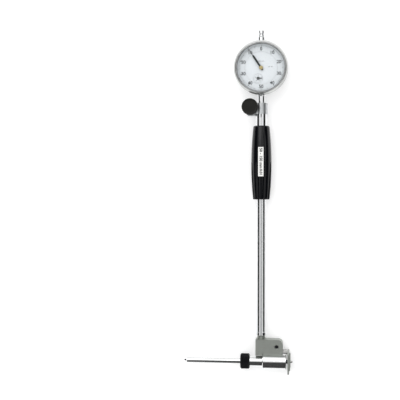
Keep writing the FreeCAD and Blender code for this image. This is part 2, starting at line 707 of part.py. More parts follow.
def tilted_flute(body, name, near, far, radius, turn):
    """A round cutter whose axis runs between two (radius, station) points, turned round Y."""
    (near_out, near_station), (far_out, far_station) = near, far
    outward, reach = far_out - near_out, far_station - near_station
    slant = math.degrees(math.atan2(outward.value, reach.value))
    step = body.newObject("PartDesign::SubtractiveCylinder", name)
    bind(step, Radius=radius, Height=root_of(outward * outward + reach * reach))
    sideways, forward = math.sin(math.radians(turn)), math.cos(math.radians(turn))
    tilt = Rotation(Vector(0, 1, 0), turn) * Rotation(Vector(1, 0, 0), slant - 90)
    put(step, (near_out * sideways, near_station, near_out * forward), tilt)
    return step


def grip():
    """The fluted barrel grip: one belly arc, eight flutes that run out over the lower end."""
    end, belly = d.grip_end_diameter / 2, d.belly_diameter / 2
    arc = arc_radius((d.grip_length - d.shoulder_round) / 2, belly - end)
    round_off = d.shoulder_round
    body = turned("grip", [
        (neck, -d.grip_top), (end - round_off, -d.grip_top), (end, -(d.grip_top + round_off)),
        (end, -grip_foot), (tube, -grip_foot), (tube, -neck_foot), (neck, -neck_foot),
    ], ON_AXIS, arcs={1: -round_off, 2: -arc})
    cutter = d.flute_diameter / 2
    middle = -(d.grip_top + d.grip_length / 2)
    start = d.grip_length * 0.44
    surface = belly - start * start / (2 * arc)
    belly_line = belly - d.flute_depth + cutter
    foot_line = end - d.flute_end_depth + cutter
    turn = 180 / SIZES["flute_count"]
    upper = tilted_flute(body, "upper_flute", (belly_line, middle), (surface + cutter, middle + start),
                         cutter, turn)
    lower = tilted_flute(body, "lower_flute", (foot_line, -grip_foot), (belly_line, middle),
                         cutter, turn)
    repeated(body, [upper, lower], d.flute_count)
    flat = belly - d.label_depth
    foot = d.label_top + d.label_length
    slot_box(body, (-(d.label_width / 2 + d.running_gap), -(foot + d.running_gap), flat),
             (d.label_width + 2 * d.running_gap, d.label_length + 2 * d.running_gap, belly))
    half = d.label_width / 2
    plate("grip_label", [(-half, -foot), (half, -foot), (half, -d.label_top), (-half, -d.label_top)],
          d.label_thickness, (0, 0, axis + flat), both_ways=False)


def tube_and_collar():
    """The long tube, its push-rod bush, and the collar that locks the head on."""
    ring("tube", tube, tube_bore, tube_end - tube_top, (0, -tube_end, axis))
    guide = d.push_rod_diameter / 2 + d.running_gap
    ring("push_rod_bush", tube_bore, guide, d.bush_length, (0, -(neck_foot + d.bush_length), axis))
    outer = d.collar_diameter / 2
    foot = tube_end + d.collar_length
    collar = turned("lower_collar", [
        (tube_bore, -tube_end), (outer - 0.3, -tube_end), (outer, -(tube_end + 0.3)),
        (outer, -(foot - 0.4)), (outer - 0.4, -foot), (tube_bore, -foot),
    ], ON_AXIS)
    radius, station = d.grub_diameter / 2, -(tube_end + d.collar_length / 2)
    turn = SIZES["grub_angle"]
    lean = Rotation(Vector(0, 1, 0), turn)
    sideways, forward = math.sin(math.radians(turn)), math.cos(math.radians(turn))
    start = (tube_bore * sideways, station, tube_bore * forward)
    feature(collar, "SubtractiveCylinder", start, lean, Radius=radius, Height=outer)
    seat, reach = tube_bore.value + 0.1, outer.value - tube_bore.value
    screw = Part.makeCylinder(radius.value, reach, Vector(0, 0, seat))
    slot = Part.makeBox(2 * radius.value, 0.5, 0.5, Vector(-radius.value, -0.25, seat + reach - 0.5))
    grub = shaped("collar_screw", screw.cut(slot))
    put(grub, (0, station, axis), lean)


neck_sleeve()
clamp()
grip()
tube_and_collar()


# --- head: bracket, barrel, lever and contact ------------------------------------------------

thick = d.bracket_thickness / 2
barrel = d.barrel_diameter / 2
barrel_end = d.barrel_start + d.barrel_length
lever_gap = d.lever_thickness / 2 + d.free_gap - d.running_gap
slot_left = -(d.lever_ball / 2 + 1.7)
slot_right = d.lever_arm + 3.5
slot_top = d.lever_arm + 4.6
arm_left = d.lever_arm - 3.8
pivot = d.pivot_diameter / 2
pin_bore_start = d.bracket_right - d.guide_pin_seat - d.guide_spring_length
IN_HEAD = (0, HEAD_Y, axis)


def head_bracket():
    """The head's cast bracket: a plate slotted for the lever, on a saddle over the barrel."""
    right, top, corner = d.bracket_right, d.bracket_top, d.bracket_corner
    body = plate("head_bracket", [
        (d.barrel_start, d.tail_edge), (right, d.tail_edge), (right, top - corner),
        (right - corner, top), (d.barrel_start, top),
    ], d.bracket_thickness, IN_HEAD, arcs={2: corner})
    eased(body, "Chamfer", d.saddle_edge - d.tail_edge, lambda e: e.BoundBox.YLength < 0.01
          and e.BoundBox.ZLength < 0.01 and abs(e.BoundBox.YMax - d.tail_edge.value) < 0.01)
    feature(body, "AdditiveBox", (-d.bracket_left, d.tail_edge, -thick),
            Length=d.bracket_left + d.barrel_start, Width=top - d.tail_edge, Height=d.bracket_thickness)
    neck_length = d.head_neck_length - d.groove_width
    feature(body, "AdditiveCylinder", (0, top, 0), "Y", Radius=d.head_neck_diameter / 2, Height=neck_length)
    feature(body, "AdditiveCylinder", (0, top + neck_length, 0), "Y", Radius=tube_bore,
            Height=d.spigot_length + d.collar_length + d.groove_width)
    drill(body, barrel, d.barrel_length, (d.barrel_start, 0, 0), "X")
    slot_box(body, (slot_left, d.lever_arm - 3.5, -lever_gap),
             (slot_right - slot_left, slot_top - d.lever_arm + 3.5, 2 * lever_gap))
    slot_box(body, (arm_left, 0, -lever_gap), (slot_right - arm_left, d.lever_arm, 2 * lever_gap))
    drill(body, d.push_rod_diameter / 2 + d.running_gap, d.measuring_down, (0, d.lever_arm, 0), "Y")
    drill(body, pivot, d.bracket_thickness, (d.lever_arm, d.lever_arm, -thick))
    feature(body, "SubtractiveCone", (d.lever_arm, d.lever_arm, thick - 0.8),
            Radius1=pivot, Radius2=pivot + 0.8, Height=0.8)
    for side in (-d.guide_pin_offset, d.guide_pin_offset):
        drill(body, d.guide_pin_diameter / 2 + d.running_gap, right - pin_bore_start,
              (pin_bore_start, d.guide_pin_up, side), "X")
    turned("pivot_pin", [
        (0, -thick), (pivot, -thick), (pivot, thick - 1.2), (pivot - 0.4, thick - 0.8), (0, thick - 0.8),
    ], (d.lever_arm, HEAD_Y + d.lever_arm, axis), "Z")


def barrel_and_socket():
    """The measuring barrel with its front bush, and the socket for the measuring rods."""
    bore = d.barrel_bore / 2
    thread, recess = bore + 0.45, bore + 1.6
    seat = d.barrel_start + d.socket_thread
    body = turned("barrel", [
        (thread, d.barrel_start), (barrel - 0.6, d.barrel_start), (barrel, d.barrel_start + 0.6),
        (barrel, barrel_end - 0.4), (barrel - 0.4, barrel_end), (recess, barrel_end),
        (recess, barrel_end - d.bush_wall), (bore, barrel_end - d.bush_wall), (bore, seat),
        (thread, seat),
    ], IN_HEAD, "X")
    slot_box(body, (arm_left, 0, -lever_gap), (slot_right - arm_left, barrel, 2 * lever_gap))
    ring_bore = d.plunger_neck / 2 + d.running_gap
    turned("front_bush", [
        (ring_bore, barrel_end - d.bush_wall), (recess, barrel_end - d.bush_wall),
        (recess, barrel_end), (ring_bore + 0.3, barrel_end), (ring_bore, barrel_end - 0.3),
    ], IN_HEAD, "X")
    outer, start = d.socket_diameter / 2, d.barrel_start - d.socket_length
    rod_bore = d.rod_diameter / 2 + d.running_gap
    turned("rod_socket", [
        (rod_bore, start), (outer - 0.4, start), (outer, start + 0.4), (outer, d.barrel_start),
        (thread, d.barrel_start), (thread, seat), (rod_bore, seat),
    ], IN_HEAD, "X")


def bell_crank():
    """The right-angled lever with equal arms that turns the contact's motion up the tube."""
    arm, hub, tip = d.lever_arm, d.lever_depth / 2, d.lever_depth * 0.28
    crank = plate("bell_crank", [
        (-arm, -tip), (-hub, -hub), (-tip, -arm), (tip, -arm), (hub, 0), (0, hub), (-arm, tip),
    ], d.lever_thickness, (arm, HEAD_Y + arm, axis))
    half = d.lever_thickness / 2
    for x, y, radius in ((0, 0, pivot + 1.4), (-arm, 0, d.lever_ball / 2), (0, -arm, d.lever_ball / 2)):
        feature(crank, "AdditiveCylinder", (x, y, -half), Radius=radius, Height=d.lever_thickness)
    drill(crank, pivot + d.running_gap, d.lever_thickness, (0, 0, -half))


def contact():
    """The sprung contact plunger with its hard tip."""
    nose = d.lever_arm + d.lever_ball / 2 + d.touch_gap
    stop = barrel_end - d.bush_wall - d.touch_gap
    body, reach = d.barrel_bore / 2 - d.running_gap, d.contact_end - 2.6
    neck_radius, tip_radius = d.plunger_neck / 2, d.tip_diameter / 2
    turned("contact_plunger", [
        (0, nose), (1.2, nose), (1.2, nose + 2), (body, nose + 2), (body, stop),
        (neck_radius, stop), (neck_radius, reach - 0.7), (tip_radius, reach), (0, reach),
    ], IN_HEAD, "X")
    turned("contact_tip", [
        (0, reach), (tip_radius, reach), (tip_radius, d.contact_end - tip_radius), (0, d.contact_end),
    ], IN_HEAD, "X", arcs={2: -tip_radius})


def centring_guide():
    """The sprung guide plate with two rounded ribs, its two pins and their springs."""
    half, corner, front = d.guide_height / 2, d.guide_corner, d.guide_thickness
    body = plate("guide_plate", [
        (-half, corner - axis), (corner - half, -axis), (half - corner, -axis), (half, corner - axis),
        (half, axis - corner), (half - corner, axis), (corner - half, axis), (-half, axis - corner),
    ], front, (d.guide_back, HEAD_Y, axis), both_ways=False, role="YZ_Plane",
        arcs={0: corner, 2: corner, 4: corner, 6: corner})
    for side in (-1, 1):
        feature(body, "AdditiveCylinder", (front, d.rib_length / -2, (axis - d.rib_inset) * side), "Y",
                Radius=d.guide_nose, Height=d.rib_length)
    drill(body, d.plunger_neck / 2 + d.free_gap, front, (0, 0, 0), "X")
    pin = d.guide_pin_diameter / 2
    start = d.bracket_right - d.guide_pin_seat
    pins, springs = [], []
    wire, gap = d.guide_spring_wire.value, d.touch_gap
    for side in (-d.guide_pin_offset, d.guide_pin_offset):
        drill(body, pin, front, (0, d.guide_pin_up, side), "X")
        spot = Vector(0, HEAD_Y.value + SIZES["guide_pin_up"], (axis + side).value)
        reach = (d.guide_back + front - start).value
        pins.append(Part.makeCylinder(pin.value, reach, spot + Vector(start.value, 0, 0), Vector(1, 0, 0)))
        low = spot + Vector((pin_bore_start + gap).value, 0, 0)
        springs.append(coil(pin.value - wire, wire, (d.guide_spring_length - 2 * gap).value, 4, low,
                            ALONG["X"]))
    group("guide_pins", pins)
    group("guide_springs", springs)


def measuring_rod():
    """The exchangeable rod with its hard point, and the knurled nut that sets and locks it."""
    radius, nut = d.rod_diameter / 2, d.nut_diameter / 2
    inner_end = d.rod_seat - (d.socket_length - d.barrel_start)
    outer_end = -d.rod_end
    turned("measuring_rod", [
        (0, outer_end), (radius - 0.8, outer_end), (radius, outer_end + 0.8),
        (radius, inner_end - 0.5), (radius - 0.5, inner_end), (0, inner_end),
    ], IN_HEAD, "X")
    tip, point = d.rod_tip_diameter / 2, d.rod_tip_diameter / 4
    turned("rod_tip", [
        (0, outer_end), (tip, outer_end), (point, outer_end - d.rod_tip_length + 0.4),
        (point / 2, outer_end - d.rod_tip_length), (0, outer_end - d.rod_tip_length),
    ], IN_HEAD, "X")
    right = d.barrel_start - d.socket_length - d.touch_gap
    left, bore = right - d.nut_length, radius + d.running_gap
    turned("lock_nut", [
        (bore, left), (nut - d.nut_chamfer, left), (nut, left + d.nut_chamfer),
        (nut, right - d.nut_chamfer), (nut - d.nut_chamfer, right), (bore, right),
    ], IN_HEAD, "X")


def push_rod():
    """The long rod from the lever up to the indicator, with its spring against a shoulder."""
    radius = d.push_rod_diameter / 2
    foot = -(d.measuring_down - d.lever_arm - d.lever_ball / 2 - d.touch_gap)
    top = -(case_radius + d.stem_length + d.contact_reach + d.touch_gap)
    seat = -(neck_foot + d.bush_length + d.spring_length)
    shoulder = tube_bore - d.free_gap
    turned("push_rod", [
        (0, foot), (radius, foot), (radius, seat - 2), (shoulder, seat - 2), (shoulder, seat),
        (radius, seat), (radius, top), (0, top),
    ], ON_AXIS)
    wire, gap = d.spring_wire.value, d.touch_gap
    spring = coil((d.spring_diameter.value - wire) / 2, wire, (d.spring_length - 2 * gap).value, 7)
    shaped("push_rod_spring", spring, (0, seat + gap, axis), ALONG["Y"])


head_bracket()
barrel_and_socket()
bell_crank()
contact()
centring_guide()
measuring_rod()
push_rod()

doc.recompute()
for thing in doc.Objects:
    if "Invalid" in thing.State or "Error" in thing.State:
        raise RuntimeError("%s did not build: %s" % (thing.Name, thing.State))
os.makedirs("parts", exist_ok=True)
for piece in PARTS:
    shape = piece.Shape
    if shape.isNull() or not shape.isValid() or not shape.Solids:
        raise RuntimeError("%s has no valid solid" % piece.Label)
    shape.exportStep("parts/%s.step" % piece.Label)
print("%d pieces" % len(PARTS))
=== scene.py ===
import bpy, bmesh, math
from mathutils import Matrix, Vector


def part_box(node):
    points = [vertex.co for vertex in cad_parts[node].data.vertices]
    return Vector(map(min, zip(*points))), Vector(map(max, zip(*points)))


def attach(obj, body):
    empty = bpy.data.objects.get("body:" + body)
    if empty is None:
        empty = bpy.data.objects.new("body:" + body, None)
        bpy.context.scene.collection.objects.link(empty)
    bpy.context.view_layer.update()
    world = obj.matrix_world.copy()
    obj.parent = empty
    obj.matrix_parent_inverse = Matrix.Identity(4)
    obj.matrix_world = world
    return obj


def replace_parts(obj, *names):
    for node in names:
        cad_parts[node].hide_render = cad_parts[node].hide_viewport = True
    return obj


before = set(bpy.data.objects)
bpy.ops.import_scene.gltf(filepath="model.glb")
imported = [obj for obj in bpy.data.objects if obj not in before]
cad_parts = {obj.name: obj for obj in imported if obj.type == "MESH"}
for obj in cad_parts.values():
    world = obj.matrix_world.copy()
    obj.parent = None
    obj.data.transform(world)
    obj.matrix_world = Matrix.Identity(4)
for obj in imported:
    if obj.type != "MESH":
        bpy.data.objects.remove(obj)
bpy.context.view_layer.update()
print("frame loaded")

# shader groups that several finishes share are built first
def newGroup(name, inputs, outputs):
    group = bpy.data.node_groups.new(name, "ShaderNodeTree")
    for label, kind, value in inputs:
        socket = group.interface.new_socket(label, in_out="INPUT", socket_type=kind)
        socket.default_value = value
    for label, kind in outputs:
        group.interface.new_socket(label, in_out="OUTPUT", socket_type=kind)
    entry = group.nodes.new("NodeGroupInput")
    leave = group.nodes.new("NodeGroupOutput")
    return group, entry, leave

def addNode(tree, kind, links=(), **values):
    # links: (input name or number, output socket)
    node = tree.nodes.new(kind)
    for name, value in values.items():
        setattr(node, name, value)
    for name, socket in links:
        tree.links.new(socket, node.inputs[name])
    return node

def addMath(tree, operation, *terms, clamp=False):
    # each term is a plain number or an output socket
    node = tree.nodes.new("ShaderNodeMath")
    node.operation, node.use_clamp = operation, clamp
    for number, value in enumerate(terms):
        if isinstance(value, (int, float)):
            node.inputs[number].default_value = value
        else:
            tree.links.new(value, node.inputs[number])
    return node.outputs[0]

marks = {"stretch": (1, 400, 1), "scale": 10.0, "detail": 3}

def buildToolMarks():
    # fine turned or brushed lines: noise squeezed along one axis
    group, entry, leave = newGroup("toolMarks", [
        ("Stretch", "NodeSocketVector", marks["stretch"]), ("Scale", "NodeSocketFloat", marks["scale"])],
        [("Lines", "NodeSocketFloat")])
    spot = addNode(group, "ShaderNodeTexCoord").outputs["Object"]
    stretched = addNode(group, "ShaderNodeVectorMath", [(0, spot), (1, entry.outputs["Stretch"])],
                        operation="MULTIPLY")
    fine = addNode(group, "ShaderNodeTexNoise", [("Vector", stretched.outputs[0]),
                                                 ("Scale", entry.outputs["Scale"])])
    fine.inputs["Detail"].default_value = marks["detail"]
    group.links.new(fine.outputs["Fac"], leave.inputs["Lines"])
    return group

touch = {
    "size": 60.0, "cloudDetail": 4, "cloudRoughness": 0.65, "smudgeGain": 2.4, "smudgeShift": -0.7,
    "gritScale": 2400, "gritDetail": 2, "speckGain": 3.0, "speckShift": -1.4,
}

def buildHandling():
    # soft smudges and small specks left by hands
    group, entry, leave = newGroup("handling", [("Size", "NodeSocketFloat", touch["size"])],
                                   [("Smudge", "NodeSocketFloat"), ("Specks", "NodeSocketFloat")])
    spot = addNode(group, "ShaderNodeTexCoord").outputs["Object"]
    cloud = addNode(group, "ShaderNodeTexNoise", [("Vector", spot), ("Scale", entry.outputs["Size"])])
    cloud.inputs["Detail"].default_value = touch["cloudDetail"]
    cloud.inputs["Roughness"].default_value = touch["cloudRoughness"]
    grit = addNode(group, "ShaderNodeTexNoise", [("Vector", spot)])
    grit.inputs["Scale"].default_value = touch["gritScale"]
    grit.inputs["Detail"].default_value = touch["gritDetail"]
    smudge = addMath(group, "MULTIPLY_ADD", cloud.outputs["Fac"], touch["smudgeGain"],
                     touch["smudgeShift"], clamp=True)
    specks = addMath(group, "MULTIPLY_ADD", grit.outputs["Fac"], touch["speckGain"],
                     touch["speckShift"], clamp=True)
    group.links.new(smudge, leave.inputs["Smudge"])
    group.links.new(specks, leave.inputs["Specks"])
    return group

toolMarks = buildToolMarks()
handling = buildHandling()

bumpDistance = 0.0002

def newMaterial(name, color, metallic, roughness, wear=0.06, lines=None, lineDepth=0.0, tint=0.06,
                grain=0.0, alpha=1.0, spread=0.05, gloss=0.5):
    # lines says how the tool marks are stretched, or None for a plain or grained surface
    # wear and spread add to the roughness: wear under smudges, spread along the tool marks
    material = bpy.data.materials.new(name)
    material.use_nodes = True
    tree = material.node_tree
    shader = tree.nodes["Principled BSDF"]
    shader.inputs["Metallic"].default_value = metallic
    shader.inputs["Alpha"].default_value = alpha
    shader.inputs["Specular IOR Level"].default_value = gloss
    hands = addNode(tree, "ShaderNodeGroup", node_tree=handling)
    dark = [c * (1 - tint) for c in color]
    mix = addNode(tree, "ShaderNodeMix", [("Factor", hands.outputs["Smudge"])], data_type="RGBA")
    mix.inputs["A"].default_value = (*color, 1)
    mix.inputs["B"].default_value = (*dark, 1)
    tree.links.new(mix.outputs["Result"], shader.inputs["Base Color"])
    rough = addMath(tree, "MULTIPLY_ADD", hands.outputs["Smudge"], wear, roughness)
    height = None
    if lines:
        turned = addNode(tree, "ShaderNodeGroup", node_tree=toolMarks)
        turned.inputs["Stretch"].default_value = lines
        rough = addMath(tree, "ADD", rough, addMath(tree, "MULTIPLY", turned.outputs["Lines"], spread))
        height = turned.outputs["Lines"]
    elif grain:
        height = hands.outputs["Specks"]
    tree.links.new(rough, shader.inputs["Roughness"])
    if height:
        bump = addNode(tree, "ShaderNodeBump", [("Height", height)])
        bump.inputs["Strength"].default_value = lineDepth if lines else grain
        bump.inputs["Distance"].default_value = bumpDistance
        tree.links.new(bump.outputs["Normal"], shader.inputs["Normal"])
    return material

ringsAlongY, ringsAlongX, ringsFlat = (1, 900, 1), (900, 1, 1), (1, 1, 900)
looks = {
    "satinChrome": dict(color=(0.80, 0.81, 0.82), metallic=1, roughness=0.16, lines=ringsAlongY,
                        lineDepth=0.05),
    "bezelChrome": dict(color=(0.62, 0.63, 0.62), metallic=1, roughness=0.18, lines=ringsFlat,
                        lineDepth=0.04),
    "brightChrome": dict(color=(0.84, 0.85, 0.86), metallic=1, roughness=0.06, lines=ringsAlongY,
                         lineDepth=0.02, spread=0.03),
    "barrelChrome": dict(color=(0.83, 0.84, 0.84), metallic=1, roughness=0.08, lines=ringsAlongX,
                         lineDepth=0.02, spread=0.03),
    "satinAluminium": dict(color=(0.58, 0.60, 0.61), metallic=1, roughness=0.30, lines=(1, 300, 300),
                           lineDepth=0.10, spread=0.08),
    "satinSteel": dict(color=(0.37, 0.39, 0.36), metallic=1, roughness=0.42, grain=0.25, tint=0.10),
    "hardenedSteel": dict(color=(0.42, 0.42, 0.41), metallic=1, roughness=0.22, lines=ringsAlongY,
                          lineDepth=0.05),
    "springSteel": dict(color=(0.30, 0.30, 0.31), metallic=1, roughness=0.28, grain=0.05),
    "bluedSteel": dict(color=(0.06, 0.06, 0.07), metallic=1, roughness=0.25, grain=0.05),
    "blackenedSteel": dict(color=(0.010, 0.010, 0.012), metallic=0.3, roughness=0.32, grain=0.12,
                           gloss=0.25),
    "blackKnob": dict(color=(0.011, 0.011, 0.009), metallic=0.1, roughness=0.42, grain=0.3, tint=0.3,
                      gloss=0.2),
    "blackGrip": dict(color=(0.0025, 0.003, 0.0045), metallic=0, roughness=0.12, grain=0.02, tint=0.4,
                      gloss=0.35),
    "whiteLabel": dict(color=(0.86, 0.86, 0.84), metallic=0, roughness=0.5, grain=0.05, tint=0.05),
    "satinBrass": dict(color=(0.52, 0.42, 0.20), metallic=1, roughness=0.28, grain=0.08),
    "whiteDial": dict(color=(0.86, 0.90, 0.93), metallic=0, roughness=0.38, grain=0.03, tint=0.03),
    "blackInk": dict(color=(0.006, 0.007, 0.007), metallic=0, roughness=0.6, grain=0.05, tint=0.3,
                     gloss=0.1),
    "blackNeedle": dict(color=(0.003, 0.005, 0.003), metallic=0, roughness=0.4, grain=0.04, tint=0.3,
                        gloss=0.1),
    "clearLens": dict(color=(0.30, 0.34, 0.36), metallic=0, roughness=0.04, wear=0.03, alpha=0.05,
                      tint=0.02),
}
finishes = {name: newMaterial(name, **look) for name, look in looks.items()}
print("finishes made")

# each finish and the CAD nodes that have it
nodeFinish = {
    "satinChrome": "tube lower_collar",
    "bezelChrome": "bezel",
    "brightChrome": "stem upper_bushing spindle_cap neck_sleeve",
    "barrelChrome": "barrel rod_socket measuring_rod",
    "satinAluminium": "indicator_case back_cover clamp_band",
    "satinSteel": "head_bracket guide_plate",
    "hardenedSteel": "cover_screws rack_guide spring_post centre_arbor counter_arbor hairspring_arbor "
                     "spindle contact_point rack_pin clamp_stud push_rod bell_crank contact_tip "
                     "guide_pins front_bush",
    "springSteel": "hairspring return_spring guide_springs push_rod_spring",
    "bluedSteel": "contact_plunger rod_tip collar_screw pivot_pin",
    "blackenedSteel": "lock_nut",
    "blackKnob": "clamp_knob",
    "blackGrip": "grip",
    "whiteLabel": "grip_label",
    "satinBrass": "front_bridge bridge_pillars rear_bridge rear_posts hairspring_stud counter_wheel "
                  "hairspring_wheel push_rod_bush",
    "whiteDial": "inner_dial scale_ring",
    "blackNeedle": "main_pointer counter_pointer",
    "clearLens": "crystal",
}
for finish, names in nodeFinish.items():
    for name in names.split():
        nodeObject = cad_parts[name]
        nodeObject.data.materials.clear()
        nodeObject.data.materials.append(finishes[finish])
print("nodes finished")

def spanOf(name):
    low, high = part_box(name)
    return Vector(low), Vector(high)

def addObject(name, data):
    thing = bpy.data.objects.new(name, data)
    bpy.context.scene.collection.objects.link(thing)
    return thing

def finishPiece(name, shape, finish, body):
    mesh = bpy.data.meshes.new(name)
    bmesh.ops.recalc_face_normals(shape, faces=shape.faces)
    shape.to_mesh(mesh)
    shape.free()
    mesh.materials.append(finishes[finish])
    for face in mesh.polygons:
        face.use_smooth = False
    piece = addObject(name, mesh)
    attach(piece, body)
    return piece

def addBar(shape, width, length, thickness, place):
    # a thin printed bar, its near end at the origin of place, running along +Y
    made = bmesh.ops.create_cube(shape, size=1)["verts"]
    bmesh.ops.scale(shape, vec=(width, length, thickness), verts=made)
    bmesh.ops.translate(shape, vec=(0, length / 2, thickness / 2), verts=made)
    bmesh.ops.transform(shape, matrix=place, verts=made)

letterDepth = 0.00001

def textMesh(text, height, place, weight=0.0):
    # flat letters, centred on the origin of place; weight makes the strokes bolder
    curve = bpy.data.curves.new("words", "FONT")
    curve.body, curve.size = text, height
    curve.align_x, curve.align_y = "CENTER", "CENTER"
    curve.extrude, curve.offset = letterDepth, weight
    holder = addObject("words", curve)
    bpy.context.view_layer.update()
    mesh = bpy.data.meshes.new_from_object(holder)
    mesh.transform(place)
    bpy.data.objects.remove(holder)
    bpy.data.curves.remove(curve)
    return mesh

def joinMeshes(meshes):
    shape = bmesh.new()
    for mesh in meshes:
        shape.from_mesh(mesh)
        bpy.data.meshes.remove(mesh)
    return shape

# the dial's print
dial = {
    # ticks at every, every fifth and every tenth division
    "divisions": 100, "tickOuter": 0.0232,
    "tickLengths": (0.0014, 0.0019, 0.0026), "tickWidths": (0.00022, 0.00030, 0.00045),
    "numberRadius": 0.0190, "numberHeight": 0.0046, "numberWeight": 0.00010,
    "ink": 0.00002,  # thickness of the print
    "counterRadius": 0.0047, "counterRing": 1.035, "counterTickWidth": 0.00016, "counterTick": 0.0007,
    "counterNumberHeight": 0.0015, "counterNumberInset": 0.0017,
    "dotRadius": 0.00045, "dotPlaces": ((0.0081, 0.0012), (0.0109, 0.0012)),
    "unitText": "0.01 mm", "unitHeight": 0.0017, "unitUp": 0.0068,
}
scaleTop = spanOf("scale_ring")[1].z
innerTop = spanOf("inner_dial")[1].z
counterLow, counterHigh = spanOf("counter_arbor")
counterSpot = (counterLow + counterHigh) / 2

def clockTurn(share):
    # a turn of share of a circle, clockwise as seen from the front
    return Matrix.Rotation(-2 * math.pi * share, 4, "Z")

def clockSpot(share, radius):
    angle = 2 * math.pi * share
    return Vector((math.sin(angle), math.cos(angle), 0)) * radius

def printScale():
    shape = bmesh.new()
    for step in range(dial["divisions"]):
        rank = 2 if step % 10 == 0 else 1 if step % 5 == 0 else 0
        length = dial["tickLengths"][rank]
        place = (clockTurn(step / dial["divisions"])
                 @ Matrix.Translation((0, dial["tickOuter"] - length, scaleTop)))
        addBar(shape, dial["tickWidths"][rank], length, dial["ink"], place)
    finishPiece("scaleTicks", shape, "blackInk", "rotating_bezel")
    meshes = []
    for step in range(10):
        number = 10 * min(step, 10 - step)  # counts up to 50 on both sides
        spot = clockSpot(step / 10, dial["numberRadius"])
        place = Matrix.Translation((spot.x, spot.y, scaleTop + dial["ink"]))
        meshes.append(textMesh(str(number), dial["numberHeight"], place, dial["numberWeight"]))
    finishPiece("scaleNumbers", joinMeshes(meshes), "blackInk", "rotating_bezel")

printScale()
print("scale printed")

def printInnerDial():
    shape = bmesh.new()
    reach, printTop = dial["counterRadius"], innerTop + dial["ink"]
    centre = Matrix.Translation((counterSpot.x, counterSpot.y, innerTop))
    for step in range(10):
        place = clockTurn(step / 10) @ Matrix.Translation((0, reach - dial["counterTick"], 0))
        addBar(shape, dial["counterTickWidth"], dial["counterTick"], dial["ink"], centre @ place)
    circle = bmesh.ops.create_circle(shape, cap_ends=False, segments=72, radius=reach,
                                     matrix=centre)["verts"]
    edges = [edge for edge in shape.edges if edge.verts[0] in circle and edge.verts[1] in circle]
    outer = bmesh.ops.extrude_edge_only(shape, edges=edges)["geom"]
    outer = [part for part in outer if isinstance(part, bmesh.types.BMVert)]
    bmesh.ops.scale(shape, vec=Vector((dial["counterRing"], dial["counterRing"], 1)), verts=outer,
                    space=centre.inverted())
    for x, y in dial["dotPlaces"]:
        bmesh.ops.create_circle(shape, cap_ends=True, segments=20, radius=dial["dotRadius"],
                                matrix=Matrix.Translation((x, y, printTop)))
    finishPiece("innerMarks", shape, "blackInk", "indicator")
    meshes = []
    for step in range(0, 10, 2):
        spot = clockSpot(step / 10, reach - dial["counterNumberInset"])
        place = Matrix.Translation((counterSpot.x + spot.x, counterSpot.y + spot.y, printTop))
        meshes.append(textMesh(str(step), dial["counterNumberHeight"], place))
    place = Matrix.Translation((0.0, dial["unitUp"], printTop))
    meshes.append(textMesh(dial["unitText"], dial["unitHeight"], place))
    finishPiece("innerNumbers", joinMeshes(meshes), "blackInk", "indicator")

printInnerDial()
print("inner dial printed")

# the main pointer with its brass hub
pointer = {
    "turn": math.radians(33.4), "length": 0.0236, "tail": 0.0030,
    "thickEnd": 0.0150, "thickWidth": 0.0019, "thinWidth": 0.00042, "rise": 0.00035,
    "edge": 0.00008, "hubRadius": 0.0021, "hubHeight": 0.0009, "capRadius": 0.0008, "capHeight": 0.0004,
    "hubTaper": 0.86, "capTaper": 0.6,
}
pointerLow = spanOf("main_pointer")[0].z

def buildPointer():
    turn = Matrix.Rotation(pointer["turn"], 4, "Z") @ Matrix.Translation((0, 0, pointerLow))
    shape = bmesh.new()
    addBar(shape, pointer["thickWidth"], pointer["thickEnd"] + pointer["tail"], pointer["rise"],
           turn @ Matrix.Translation((0, -pointer["tail"], 0)))
    addBar(shape, pointer["thinWidth"], pointer["length"] - pointer["thickEnd"], pointer["rise"],
           turn @ Matrix.Translation((0, pointer["thickEnd"], 0)))
    edges = [edge for edge in shape.edges if edge.calc_length() < 2 * pointer["rise"]]
    bmesh.ops.bevel(shape, geom=edges, offset=pointer["edge"], affect="EDGES", segments=1, profile=0.5,
                    material=-1)
    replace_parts(finishPiece("pointerBlade", shape, "blackNeedle", "pointer"), "main_pointer")
    shape = bmesh.new()
    middle = pointerLow + pointer["hubHeight"] / 2
    bmesh.ops.create_cone(shape, cap_ends=True, segments=40, radius1=pointer["hubRadius"],
                          radius2=pointer["hubRadius"] * pointer["hubTaper"], depth=pointer["hubHeight"],
                          matrix=Matrix.Translation((0, 0, middle)))
    bmesh.ops.create_cone(shape, cap_ends=True, segments=24, radius1=pointer["capRadius"],
                          radius2=pointer["capRadius"] * pointer["capTaper"], depth=pointer["capHeight"],
                          matrix=Matrix.Translation((0, 0, middle + pointer["hubHeight"] / 2)))
    finishPiece("pointerHub", shape, "satinBrass", "pointer")

buildPointer()
print("pointer built")

# thin dark rings round the lens and the bezel's front: painted shade, dark lines put where there is only
# shade and no dark part
paintedShadeRings = {
    "innerRadius": 0.0242, "innerHalf": 0.00028, "innerLift": 0.0005,
    "outerRadius": 0.02515, "outerHalf": 0.00022, "sunk": 0.0001, "proud": 0.00003,
}
crystalTop, bezelTop = spanOf("crystal")[1].z, spanOf("bezel")[1].z

